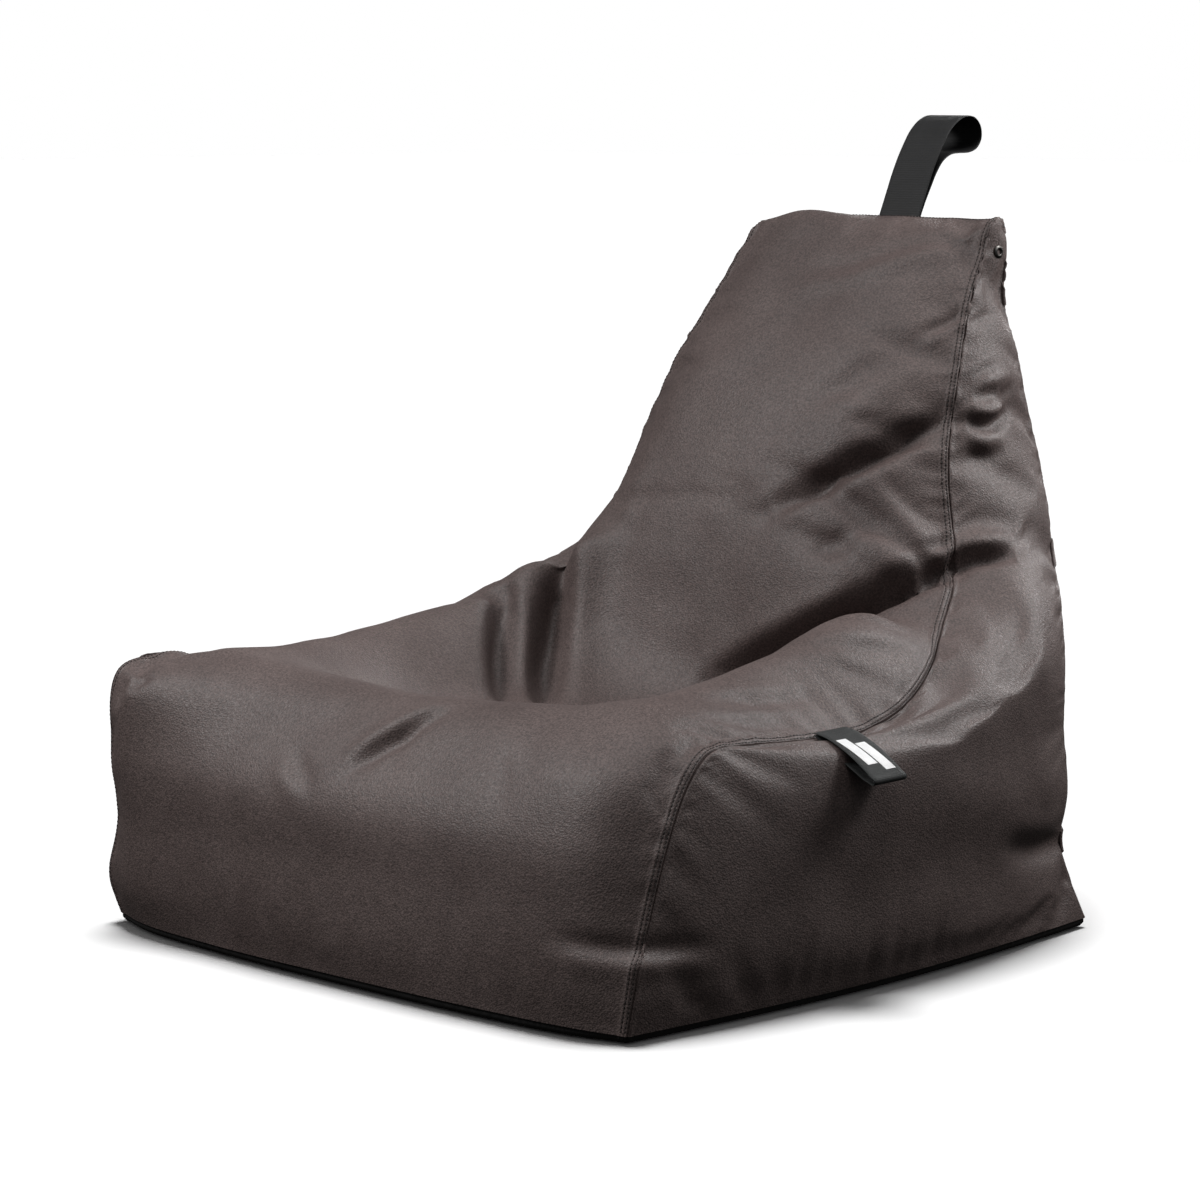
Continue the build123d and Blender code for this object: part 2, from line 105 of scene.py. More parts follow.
# Across the rear strip, from the top seam down: side seam, quarter, centre line.
REAR = [
    [(185, 531, 832), (90, 532, 828), (0, 532, 830)],
    [(187, 541, 806), (90, 552, 800), (0, 555, 800)],
    [(196, 527, 730), (105, 556, 732), (0, 563, 734)],
    [(218, 528, 662), (115, 556, 664), (0, 566, 664)],
    [(237, 533, 573), (130, 562, 574), (0, 570, 574)],
    [(263, 528, 504), (145, 560, 499), (0, 570, 494)],
    [(306, 487, 434), (165, 533, 424), (0, 548, 419)],
    [(362, 430, 373), (190, 482, 359), (0, 500, 354)],
    [(397, 392, 313), (205, 440, 298), (0, 455, 293)],
    [(409, 376, 237), (210, 420, 228), (0, 432, 223)],
    [(420, 372, 162), (212, 408, 158), (0, 416, 155)],
    [(415, 367, 100), (212, 393.5, 98), (0, 393.5, 98)],
    [(424, 373, 58), (212, 393.5, 60), (0, 393.5, 60)],
    [(438, 386, 12), (212, 394, 12), (0, 394, 12)],
]
# How far the near (1) and the far (-1) side panel stand out.
SIDE_BULGE = {1: 0.030, -1: 0.017}  # at their middle
HEM_BULGE = {1: 0.026, -1: 0.013}  # along the floor
FULL_BULGE_WIDTH = 0.5  # a narrower row stands out less
SHOULDER_BULGE = 0.024  # beside the backrest

# ---------- mesh density
ROWS = 252  # cells along each strip, and up each side panel
COLS = 120  # plain cells across a strip
SIDE_COLS = 104
STRIDE = 2  # the simulated mesh takes every second row and column
SEAM_STEPS = np.array([0, 0.8, 1.6, 2.4, 3.2, 4.0, 4.8, 6, 7.2, 8.1, 9, 9.9, 11, 13, 16]) / 1000
STRIPS = ("front", "rear")  # the rest are the two side panels
TOP_BLEND = 0.12  # share of the rear strip that is drawn to the top seam
DENSE = 240  # samples along a row before it is divided by length


# ---------- curves and grids
def knots_of(stations):
    """The share of the length at which each station lies."""
    points = np.asarray(stations, float).reshape(len(stations), -1, 3)
    steps = np.linalg.norm(np.diff(points, axis=0), axis=2).mean(axis=1)
    knots = np.concatenate([[0], np.cumsum(steps)])
    return knots / knots[-1]


def smooth_through(values, knots, at):
    """Values on the smooth curve that passes through values[i] at knots[i]."""
    values, at = np.asarray(values, float), np.asarray(at, float)
    slopes = np.gradient(values, knots, axis=0)
    i = np.clip(np.searchsorted(knots, at, side="right") - 1, 0, len(knots) - 2)
    gap = knots[i + 1] - knots[i]
    s = (at - knots[i]) / gap
    shape = (-1,) + (1,) * (values.ndim - 1)
    s, gap = s.reshape(shape), gap.reshape(shape)
    rise = 3 * s**2 - 2 * s**3
    start = (s**3 - 2 * s**2 + s) * gap * slopes[i]
    end = (s**3 - s**2) * gap * slopes[i + 1]
    return (1 - rise) * values[i] + rise * values[i + 1] + start + end


def smoothstep(low, high, x):
    t = np.clip((np.asarray(x, float) - low) / (high - low), 0, 1)
    return t * t * (3 - 2 * t)


def unit(vectors):
    return vectors / np.maximum(np.linalg.norm(vectors, axis=-1, keepdims=True), 1e-12)


def run_along(line):
    """The distance along a line to each of its points."""
    return np.concatenate([[0], np.cumsum(np.linalg.norm(np.diff(line, axis=0), axis=1))])


def place_on(line, run, at):
    """What a line of points or vectors holds at distances along it."""
    return np.stack([np.interp(at, run, line[:, k]) for k in range(3)], axis=-1)


def mirrored(places):
    return [(-x, y, z) for x, y, z in places]


def front_net():
    """Control points of the front strip, far seam to near seam."""
    return np.array([mirrored(far) + near[::-1] for near, far in zip(NEAR_FRONT, FAR_FRONT)]) / 1000


def rear_net():
    """Control points of the rear strip, far seam to near seam."""
    return np.array([mirrored(row[:2]) + row[::-1] for row in REAR]) / 1000


def strip_rows(net, v):
    """Dense rows across a strip at shares v of its length."""
    across = smooth_through(net, knots_of(net), v)
    knots = knots_of(net.transpose(1, 0, 2))
    return smooth_through(across.transpose(1, 0, 2), knots, np.linspace(0, 1, DENSE)).transpose(1, 0, 2)


def side_rows(front_edge, rear_edge, side):
    """Dense rows across a side panel, from its front seam to its rear seam, bottom row first."""
    s = np.linspace(0, 1, DENSE)[None, :, None]
    t = np.linspace(0, 1, len(front_edge))[:, None, None]
    start, end = front_edge[:, None], rear_edge[:, None]
    hem = (1 - s) * start[:1] + s * end[:1]
    hem = hem + np.array([side * HEM_BULGE[side], 0, 0]) * np.sin(math.pi * s)
    flat = (1 - s) * start + s * end
    rows = flat + (1 - t) * (hem - flat[:1])
    width = np.linalg.norm(rear_edge - front_edge, axis=1)[:, None, None]
    swell = SIDE_BULGE[side] * np.sin(math.pi * s) ** 0.8 * np.sin(math.pi * np.clip(t * 1.15, 0, 1)) ** 0.7
    swell = swell * np.clip(width / FULL_BULGE_WIDTH, 0.35, 1)
    swell = swell + SHOULDER_BULGE * np.sin(math.pi * s) * smoothstep(0.5, 0.7, t) * (1 - t)
    return rows + np.concatenate([side * swell, 0 * swell, 0 * swell], axis=2)


def divide(dense, counts, fine):
    """Each row divided by length: (points, shares of the row's length, distances to its two ends)."""
    points, shares, ends = [], [], []
    for row in dense:
        run = run_along(row)
        length = run[-1]
        if fine:
            near = SEAM_STEPS * min(1, length / (5 * SEAM_STEPS[-1]))
            inner = np.linspace(near[-1], length - near[-1], counts + 1)[1:-1]
            at = np.concatenate([near, inner, (length - near)[::-1]])
        else:
            at = np.linspace(0, length, counts + 1)
        points.append(place_on(row, run, at))
        shares.append(at / max(length, 1e-9))
        ends.append(np.stack([at, length - at], axis=1))
    return np.array(points), np.array(shares), np.array(ends)


def grid_faces(index):
    """Faces of a grid of vertex indices; cells that shrink to a line are left out."""
    a, b, c, d = index[:-1, :-1], index[:-1, 1:], index[1:, 1:], index[1:, :-1]
    faces = []
    for quad in zip(a.ravel(), b.ravel(), c.ravel(), d.ravel()):
        corners = list(dict.fromkeys(int(q) for q in quad))
        if len(corners) > 2:
            faces.append(corners)
    return faces


def build_bag(stride):
    """The four upper panels as welded grids. stride 1 is the fine mesh."""
    fine = stride == 1
    rows = ROWS // stride
    cols = COLS if fine else (COLS + 2 * len(SEAM_STEPS)) // stride
    side_cols = SIDE_COLS if fine else SIDE_COLS // stride
    v = np.linspace(0, 1, rows + 1)
    dense = {"front": strip_rows(front_net(), v), "rear": strip_rows(rear_net(), v)}
    # The rear strip starts from the very edge where the front strip ends: the top seam.
    step = dense["front"][-1] - dense["rear"][0]
    dense["rear"] += step * (1 - smoothstep(0, TOP_BLEND, v))[:, None, None]
    for name, side, column in (("near", 1, -1), ("far", -1, 0)):
        front_edge = dense["front"][:, column]
        rear_edge = dense["rear"][::-1, column]
        dense[name] = side_rows(front_edge, rear_edge, side)
    panels, points = {}, []
    for name, rows_of in dense.items():
        counts = cols if name in STRIPS else side_cols
        grid, shares, ends = divide(rows_of, counts, fine)
        panels[name] = {"shares": shares, "ends": ends, "shape": grid.shape[:2]}
        points.append(grid.reshape(-1, 3))
    everything = np.concatenate(points)
    _, first, back = np.unique(np.round(everything, 5), axis=0, return_index=True, return_inverse=True)
    back = back.reshape(-1)
    start = 0
    for panel in panels.values():
        count = panel["shape"][0] * panel["shape"][1]
        panel["index"] = back[start : start + count].reshape(panel["shape"])
        panel["faces"] = grid_faces(panel["index"])
        start += count
    # Faces point outwards: each panel is turned if its faces point towards the bag's middle.
    points = everything[first]
    middle = np.array([0, 0.05, 0.2])
    for panel in panels.values():
        votes = 0
        for face in panel["faces"][:: max(1, len(panel["faces"]) // 400)]:
            p = points[face]
            votes += np.sign(np.dot(np.cross(p[1] - p[0], p[2] - p[1]), p.mean(axis=0) - middle))
        if votes < 0:
            panel["faces"] = [f[::-1] for f in panel["faces"]]
    return points, panels


def normals_of(points, panels):
    total = np.zeros_like(points)
    for panel in panels.values():
        for size in (3, 4):
            faces = np.array([f for f in panel["faces"] if len(f) == size], int).reshape(-1, size)
            if not len(faces):
                continue
            p = points[faces]
            n = np.cross(p[:, 2] - p[:, 0], p[:, -1] - p[:, 1])
            for k in range(size):
                np.add.at(total, faces[:, k], n)
    return unit(total)


# ---------- seams
STITCH_ROWS = (3.6, 8.6)  # mm from the seam, on the centre strip's side
PUCKERS = 46  # gathers along a seam
PUCKER_HEIGHT = 0.0022


def seam_profile(ends, raised):
    """Height across a seam at distance d: a groove, and on the topstitched side a raised, stitched band."""
    d = ends.min(axis=2) * 1000
    groove = -2.6 * np.exp(-((d / 1.1) ** 2))
    if not raised:
        return (groove + 0.5 * np.exp(-(((d - 3.5) / 3) ** 2))) / 1000
    band = 1.3 * smoothstep(0.4, 2.6, d) * (1 - smoothstep(9.6, 12.6, d))
    for row in STITCH_ROWS:
        band = band - 0.8 * np.exp(-(((d - row) / 0.8) ** 2))
    return (groove + band) / 1000


def pucker_profile(ends, share):
    """Small gathers that cross a seam and fade away from it."""
    d = ends.min(axis=2)
    near_start = ends[..., 0] < ends[..., 1]
    wave = np.zeros(d.shape)
    for i in range(d.shape[0]):
        for side, seed in ((True, 0.0), (False, 40.0)):
            place = share[i] * PUCKERS
            size = noise.noise((place, seed, 0.5)) + 0.5 * noise.noise((place * 2.3, seed, 7.5))
            wave[i, near_start[i] == side] = size
    return PUCKER_HEIGHT * wave * (1 - np.exp(-((d / 0.006) ** 2))) * np.exp(-((d / 0.026) ** 2))


# ---------- folds: a valley along a given line on the surface, with a ridge beside it
# Each is a line, the valley's width and depth, the ridge's height, the side of the line that the ridge is on,
# how far it leans over the valley, and how gently the fold fades to its ends. The last four can be left out.
FOLDS = [
    # Between the backrest and the near arm, the deepest one.
    ([(284, 318, 426), (262, 276, 405), (225, 232, 378), (155, 205, 340), (90, 192, 304),
      (25, 178, 270)], 17, 66, 0, 1, 0, 0.55),
    # Across the backrest, from the near seam down towards the far side.
    ([(226, 384, 597), (195, 335, 572), (163, 303, 548), (124, 279, 523), (92, 262, 500),
      (58, 247, 480)], 16, 29, 3, 1, 4),
    ([(155, 380, 668), (105, 339, 631), (66, 315, 600)], 20, 6, 2),
    ([(205, 272, 480), (170, 250, 456), (135, 232, 432)], 18, 7, 3),
    ([(160, 405, 690), (178, 424, 704), (196, 447, 722)], 8, 6, 3, -1),
    ([(250, 300, 440), (262, 318, 450), (272, 335, 462)], 9, 7, 5, -1),
    # The soft ridge under the top edge.
    ([(-45, 436, 758), (35, 450, 768), (95, 474, 792), (155, 500, 815)], 14, 4, 5, -1),
    # Along the top of the near arm.
    ([(275, 60, 372), (310, 120, 376), (345, 170, 362)], 10, 4, 2),
    ([(312, 10, 356), (338, 75, 355), (362, 135, 345)], 10, 4, 2),
    ([(325, -180, 325), (352, -100, 322), (366, -20, 322)], 10, 4, 2),
    ([(360, -225, 312), (378, -150, 306), (388, -80, 304)], 9, 3, 2),
    # On the near side panel, gathered where the backrest's seam pulls.
    ([(230, 416, 618), (236, 445, 618), (236, 492, 628)], 9, 6, 4),
    ([(238, 398, 590), (243, 425, 583), (250, 450, 590), (248, 478, 604)], 10, 12, 8, 1, 4),
    ([(246, 385, 556), (256, 415, 548), (262, 445, 556)], 10, 7, 4),
    ([(281, 318, 430), (300, 352, 434), (324, 388, 434)], 13, 20, 6, 1, 6, 0.7),
    # On the seat's front edge.
    ([(-6, -394, 240), (14, -373, 261), (35, -353, 275), (54, -329, 287), (75, -305, 292)], 12, 10, 7, 1, 4),
    ([(-110, -385, 254), (-85, -398, 236), (-50, -412, 214)], 12, 4, 3, -1),
    ([(-385, -340, 312), (-350, -310, 318), (-310, -260, 318)], 10, 6, 4, -1),
    # Down the inside of the far arm.
    ([(-292, 130, 375), (-262, 105, 345), (-220, 63, 298), (-185, 28, 262),
      (-150, -10, 240)], 18, 34, 6, 1, 4),
    ([(-256, 218, 420), (-236, 182, 384), (-200, 130, 312), (-156, 76, 264),
      (-121, 35, 237)], 19, 42, 6, 1, 4),
    # Where the near front corner meets the floor and kinks.
    ([(335, -414, 106), (385, -405, 103), (421, -374, 101), (432, -330, 97),
      (436, -285, 92)], 11, 6, 4, -1, 3),
    # At the foot behind the near side, above the floor.
    ([(436, 200, 128), (432, 280, 112), (410, 362, 102)], 16, 8, 3),
    # On the far side and the rear, as the same pull makes them there.
    ([(-236, 425, 610), (-240, 455, 606), (-236, 495, 618)], 12, 9, 5, -1),
    ([(-290, 350, 452), (-305, 380, 446), (-318, 420, 440)], 14, 11, 7, -1, 4),
    ([(255, 520, 505), (180, 545, 480), (90, 560, 470), (-20, 568, 475)], 18, 10, 5),
    ([(-300, 490, 430), (-220, 520, 430), (-130, 545, 445)], 16, 9, 5, -1),
    ([(390, 395, 290), (300, 425, 275), (200, 440, 278)], 20, 7, 4),
    ([(-395, 390, 270), (-310, 420, 262), (-220, 435, 270)], 20, 7, 4, -1),
    ([(120, 555, 700), (40, 562, 672), (-60, 563, 664)], 18, 5, 3),
]
FOLD_STEPS = 60  # places along a fold
FOLD_REACH = 5.2  # how far a fold can move the cloth, in its widths


def fold_shift(points, normals, tree, line, width, depth, ridge=0, side=1, lean=0, fade=0.6):
    """How far each point moves for one fold: the indices that move, and their shifts."""
    line, width, depth, ridge, lean = (np.array(given) / 1000 for given in (line, width, depth, ridge, lean))
    line = smooth_through(line, knots_of(line), np.linspace(0, 1, FOLD_STEPS))
    out = []
    for i, place in enumerate(line):
        found, normal, _, _ = tree.find_nearest(Vector(place))
        line[i] = found
        out.append(normal)
    out = np.array(out)
    for _ in range(FOLD_STEPS // 3):
        for field in (line, out):
            field[1:-1] = (field[:-2] + 2 * field[1:-1] + field[2:]) / 4
    out, along = unit(out), unit(np.gradient(line, axis=0))
    across = unit(np.cross(out, along))
    reach = width * FOLD_REACH
    low, high = line.min(axis=0) - reach, line.max(axis=0) + reach
    near = np.where(((points > low) & (points < high)).all(axis=1))[0]
    gaps = points[near][:, None] - line[None]
    nearest = np.linalg.norm(gaps, axis=2).argmin(axis=1)
    gap = gaps[np.arange(len(near)), nearest]
    d = (gap * across[nearest]).sum(axis=1)
    beyond = np.abs((gap * along[nearest]).sum(axis=1))
    off = np.abs((gap * out[nearest]).sum(axis=1))
    facing = (normals[near] * out[nearest]).sum(axis=1)
    t = nearest / (FOLD_STEPS - 1)
    size = np.sin(math.pi * np.clip(t, 0.02, 0.98)) ** fade
    size = size * np.exp(-((beyond / width) ** 2)) * smoothstep(-0.1, 0.4, facing)
    size = size * (1 - smoothstep(2.0, 4.0, off / width))
    valley = np.exp(-((d / width) ** 2))
    crest = np.exp(-(((d * side / width - 1.9) / 1.05) ** 2))
    height = (-depth * valley + ridge * crest) * size
    over = -side * lean * crest * size
    return near, normals[near] * height[:, None] + across[nearest] * over[:, None]


def unevenness(points):
    """The slack of a half-filled bag: low waves a few millimetres high."""
    waves = np.zeros(len(points))
    for i, p in enumerate(points):
        place = Vector(p)
        waves[i] = 0.0032 * noise.noise(place * 7) + 0.0016 * noise.noise(place * 17 + Vector((3, 1, 2)))
    return waves


def slackness(points):
    """How much of the swell and the waves a point takes: little on the taut front face, none at the hem."""
    taut = smoothstep(0.28, 0.36, -points[:, 1]) * (1 - smoothstep(0.20, 0.28, points[:, 2]))
    return (1 - 0.75 * taut) * smoothstep(0.0, 0.05, points[:, 2])


# ---------- cloth simulation
CLOTH_FRAMES = 20
CLOTH_CAP = 0.012  # the most that a point may move


def inflate(points, panels):
    """Lets the panels swell between their held seams under light pressure; returns each point's shift."""
    faces = [f for panel in panels.values() for f in panel["faces"]]
    rim = hem_loop(panels)
    bottom = len(points)
    closed = np.vstack([points, [[0, 0, 0.004]]])
    body = new_object("inflated", closed, faces + hub_faces(rim, bottom))
    held = body.vertex_groups.new(name="held")
    fixed = {bottom, *rim}
    for name in STRIPS:
        index = panels[name]["index"]
        fixed |= {int(k) for k in index[:, [0, -1]].ravel()}
    fixed |= {int(k) for k in panels["front"]["index"][-1]}
    held.add(sorted(fixed), 1.0, "REPLACE")
    cloth = body.modifiers.new("cloth", "CLOTH")
    settings = cloth.settings
    settings.quality = 4
    settings.mass = 0.35
    settings.tension_stiffness = settings.compression_stiffness = 12
    settings.shear_stiffness = 5
    settings.bending_stiffness = 1.5
    settings.use_pressure = True
    settings.uniform_pressure_force = 4
    settings.shrink_min = -0.012
    settings.vertex_group_mass = "held"
    settings.effector_weights.gravity = 0
    cloth.collision_settings.use_collision = False
    for step in range(1, CLOTH_FRAMES + 1):
        SCENE.frame_set(step)
    shown = body.evaluated_get(bpy.context.evaluated_depsgraph_get())
    result = np.empty(len(closed) * 3)
    shown.to_mesh().vertices.foreach_get("co", result)
    shown.to_mesh_clear()
    shift = result.reshape(-1, 3)[: len(points)] - points
    bpy.data.objects.remove(body)
    SCENE.frame_set(1)
    length = np.linalg.norm(shift, axis=1, keepdims=True)
    return shift * (CLOTH_CAP * np.tanh(length / CLOTH_CAP) / np.maximum(length, 1e-9))


def hem_loop(panels):
    """Vertices along the floor edge, once round the bag."""
    rim = list(panels["front"]["index"][0])
    rim += list(panels["near"]["index"][0])[1:]
    rim += list(panels["rear"]["index"][-1])[::-1][1:]
    rim += list(panels["far"]["index"][0])[::-1][1:-1]
    return [int(k) for k in rim]


def hub_faces(rim, hub):
    """Triangles that close a loop of vertices around one in its middle."""
    return [(rim[i], rim[i - 1], hub) for i in range(len(rim))]


def spread_shift(shift, coarse, fine, count):
    """The simulated shift of the coarse grids, laid smoothly over the fine grids."""
    total = np.zeros((count, 3))
    for name, panel in fine.items():
        grid = shift[coarse[name]["index"]]
        rows = np.linspace(0, 1, panel["shape"][0])
        grid = smooth_through(grid, np.linspace(0, 1, grid.shape[0]), rows)
        knots = np.linspace(0, 1, grid.shape[1])
        for i, shares in enumerate(panel["shares"]):
            total[panel["index"][i]] = smooth_through(grid[i], knots, shares)
    return total


# ---------- objects and materials
def new_object(name, points, faces, smooth=True):
    mesh = bpy.data.meshes.new(name)
    mesh.from_pydata([tuple(p) for p in points], [], [tuple(f) for f in faces])
    mesh.validate()
    mesh.polygons.foreach_set("use_smooth", [smooth] * len(mesh.polygons))
    mesh.update()
    obj = bpy.data.objects.new(name, mesh)
    SCENE.collection.objects.link(obj)
    return obj


def part_of(name, points, faces):
    """A new object from some of the faces, with only the vertices that they use."""
    used = np.unique(np.concatenate([np.array(f) for f in faces]))
    place = {int(k): i for i, k in enumerate(used)}
    return new_object(name, points[used], [[place[k] for k in f] for f in faces])


def finished(obj, slot, look, *nodes, body="bag"):
    """Gives a piece its body and material, and hides the CAD nodes that it stands for; slot is not used."""
    obj.data.materials.append(look)
    if nodes:
        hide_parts(*nodes)
    if body:
        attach(obj, body)
    return obj


def material(name, rough, **constants):
    """A material whose Principled shader has these constants; returns (material, node tree, shader's inputs)."""
    made = bpy.data.materials.new(name)
    made.use_nodes = True
    inputs = made.node_tree.nodes["Principled BSDF"].inputs
    inputs["Roughness"].default_value = rough
    for key, value in constants.items():
        inputs[key.replace("_", " ")].default_value = value
    return made, made.node_tree, inputs


def texture(tree, scale, detail=2.0, rough=0.5, stretch=(1, 1, 1), kind="Noise"):
    """The value of a procedural texture in object coordinates."""
    coords, mapping = tree.nodes.new("ShaderNodeTexCoord"), tree.nodes.new("ShaderNodeMapping")
    node = tree.nodes.new("ShaderNodeTex" + kind)
    node.inputs["Scale"].default_value = scale
    if kind == "Noise":
        node.inputs["Detail"].default_value = detail
        node.inputs["Roughness"].default_value = rough
    mapping.inputs["Scale"].default_value = stretch
    tree.links.new(coords.outputs["Object"], mapping.inputs["Vector"])
    tree.links.new(mapping.outputs["Vector"], node.inputs["Vector"])
    return node.outputs["Distance" if kind == "Voronoi" else "Fac"]


def ramp(tree, value, *stops):
    """A colour ramp of two stops, each (place, colour or grey)."""
    node = tree.nodes.new("ShaderNodeValToRGB")
    for element, (place, colour) in zip(node.color_ramp.elements, stops):
        element.position = place
        element.color = (*np.broadcast_to(colour, 3), 1)
    tree.links.new(value, node.inputs["Fac"])
    return node.outputs["Color"]


def mixed(tree, a, b, share=1.0, blend="MULTIPLY"):
    """Two colours mixed; each argument is a socket or a value."""
    node = tree.nodes.new("ShaderNodeMix")
    node.data_type = "RGBA"
    node.blend_type = blend
    for socket, value in (("Factor", share), ("A", a), ("B", b)):
        target = [s for s in node.inputs if s.name == socket and s.enabled][0]
        if isinstance(value, bpy.types.NodeSocket):
            tree.links.new(value, target)
        else:
            target.default_value = value
    return [s for s in node.outputs if s.enabled][0]


def bump(tree, height, distance, strength, onto):
    """Bump into a normal socket; returns the bump's own normal socket, for a second bump under it."""
    node = tree.nodes.new("ShaderNodeBump")
    node.inputs["Distance"].default_value = distance
    node.inputs["Strength"].default_value = strength
    tree.links.new(height, node.inputs["Height"])
    tree.links.new(node.outputs["Normal"], onto)
    return node.inputs["Normal"]


def leatherette():
    """Warm grey-brown, satin, mottled, with a fine pebble grain that sparkles in the light."""
    made, tree, inputs = material("suede_leatherette", 0.5, Specular_IOR_Level=0.45)
    cloud = texture(tree, 6.0, 6, 0.62)
    tone = ramp(tree, cloud, (0.34, (0.072, 0.0510, 0.0475)), (0.66, (0.102, 0.0755, 0.0705)))
    fleck = ramp(tree, texture(tree, 380.0, 2, 0.6), (0.35, 0.62), (0.65, 1.32))
    tree.links.new(mixed(tree, tone, fleck), inputs["Base Color"])
    gloss = ramp(tree, texture(tree, 300.0, 3, 0.7), (0.3, 0.46), (0.7, 0.68))
    tree.links.new(gloss, inputs["Roughness"])
    slack = texture(tree, 55.0, 4, 0.6)
    under = bump(tree, slack, 0.0008, 0.6, inputs["Normal"])
    bump(tree, texture(tree, 480.0, kind="Voronoi"), 0.0007, 0.6, under)
    return made


WAVE_PERIOD = 2 * math.pi / 20  # of a wave texture whose scale is 1


def woven(name, dark, light, pitch, rough=0.75, depth=0.0003, sheen=0.0):
    """Plain-weave cloth: crossed sets of yarns, pitch apart, with a little unevenness and dirt."""
    made, tree, inputs = material(name, rough, Specular_IOR_Level=0.3, Sheen_Weight=sheen)
    yarns = []
    for direction in "XYZ":
        yarns.append(texture(tree, WAVE_PERIOD / pitch, kind="Wave"))
        yarns[-1].node.bands_direction = direction
        yarns[-1].node.inputs["Distortion"].default_value = 0.4
    weave = mixed(tree, mixed(tree, yarns[0], yarns[1], 0.5, "MIX"), yarns[2], 0.34, "MIX")
    shade = ramp(tree, weave, (0.25, dark), (0.75, light))
    dirt = ramp(tree, texture(tree, 25.0, 5, 0.6), (0.3, 0.8), (0.7, 1.15))
    tree.links.new(mixed(tree, shade, dirt), inputs["Base Color"])
    bump(tree, weave, depth, 0.7, inputs["Normal"])
    return made


def metal(name, colour, rough):
    """Plated metal with fine scratches and worn, uneven gloss."""
    made, tree, inputs = material(name, rough, Metallic=1.0)
    cloud = texture(tree, 180.0, 4, 0.65)
    tone = ramp(tree, cloud, (0.3, tuple(0.75 * c for c in colour)), (0.7, colour))
    tree.links.new(tone, inputs["Base Color"])
    worn = ramp(tree, cloud, (0.3, rough * 0.7), (0.7, rough * 1.3))
    tree.links.new(worn, inputs["Roughness"])
    scratches = texture(tree, 900.0, 2, 0.5, (1, 8, 1))
    bump(tree, scratches, 0.0001, 0.4, inputs["Normal"])
    return made


def moulded(name, dark, light, rough):
    """Moulded plastic: an even colour with a fine matt texture and slight wear."""
    made, tree, inputs = material(name, rough, Specular_IOR_Level=0.5)
    tone = ramp(tree, texture(tree, 140.0, 5, 0.6), (0.35, dark), (0.7, light))
    tree.links.new(tone, inputs["Base Color"])
    bump(tree, texture(tree, 1500.0, 2, 0.5), 0.0001, 0.5, inputs["Normal"])
    return made


def foam():
    """White polystyrene beads, a few millimetres across, packed together; each bead's colour darkens from its
    middle to its edge as painted shade in the gaps between beads.
    """
    made, tree, inputs = material("foam_beads", 0.6, Specular_IOR_Level=0.35)
    cells = texture(tree, 230.0, kind="Voronoi")
    # Painted shade: each bead turns grey towards its edge, where the gaps between packed beads are in shade.
    tone = ramp(tree, cells, (0.1, (0.86, 0.87, 0.88)), (0.75, (0.5, 0.51, 0.53)))
    tree.links.new(tone, inputs["Base Color"])
    bump(tree, ramp(tree, cells, (0.0, 1), (0.8, 0)), 0.002, 0.9, inputs["Normal"])
    return made


def ring_faces(rings, count, base=0):
    """Quads that join each ring of count vertices, from vertex base on, to the next ring."""
    faces = []
    for first in range(base, base + (rings - 1) * count, count):
        for k in range(count):
            a, b = first + k, first + (k + 1) % count
            faces.append((a, b, b + count, a + count))
    return faces


def end_faces(rings, count):
    """One face over the first ring and one over the last."""
    return [tuple(reversed(range(count))), tuple(range((rings - 1) * count, rings * count))]


# ---------- sewn threads
STITCH_PITCH = 0.0052
STITCH_LENGTH = 0.0038
STITCH_RADIUS = 0.00048
STITCH_LIFT, STITCH_BOW = 0.00035, 0.0002  # its ends above the cloth, and its middle above its ends
STITCH_LOOK_AHEAD = 0.003  # how far ahead its direction is taken
STITCH_RINGS = [(-0.5, 0.35), (-0.3, 0.9), (0, 1.0), (0.3, 0.9), (0.5, 0.35)]  # share of length, of radius
STITCH_SIDES = 6


def thread(name, lines):
    """One mesh of many short stitches: each line is (points, outward normals)."""
    vertices, faces = [], []
    for places, outward in lines:
        run = run_along(places)
        for at in np.arange(STITCH_PITCH, run[-1] - STITCH_PITCH, STITCH_PITCH):
            middle, up = place_on(places, run, at), unit(place_on(outward, run, at))
            along = unit(place_on(places, run, at + STITCH_LOOK_AHEAD) - middle)
            across = np.cross(along, up)
            base = len(vertices)
            for offset, width in STITCH_RINGS:
                rise = up * (STITCH_LIFT + STITCH_BOW * (1 - (2 * offset) ** 2))
                for k in range(STITCH_SIDES):
                    angle = 2 * math.pi * k / STITCH_SIDES
                    radial = (math.cos(angle) * across + math.sin(angle) * up) * STITCH_RADIUS * width
                    vertices.append(middle + along * STITCH_LENGTH * offset + radial + rise)
            faces += ring_faces(len(STITCH_RINGS), STITCH_SIDES, base)
            faces += [tuple(base + k for k in face) for face in end_faces(len(STITCH_RINGS), STITCH_SIDES)]
    return new_object(name, vertices, faces)


def line_beside_seam(points, normals, panel, end, distance):
    """The line that runs a set distance from a strip's seam, with its normals. end is 0 or -1."""
    places, outward = [], []
    for index, ends in zip(panel["index"], panel["ends"]):
        order = slice(None) if end == 0 else slice(None, None, -1)
        gaps, row = ends[order, 0 if end == 0 else 1], index[order]
        places.append([np.interp(distance, gaps, points[row, k]) for k in range(3)])
        outward.append([np.interp(distance, gaps, normals[row, k]) for k in range(3)])
    return np.array(places), np.array(outward)


def line_below_top(points, normals, index, share):
    """The line across a strip between its edge row and the row inside it, with its normals."""
    edge, inside = index
    return tuple((1 - share) * field[edge] + share * field[inside] for field in (points, normals))


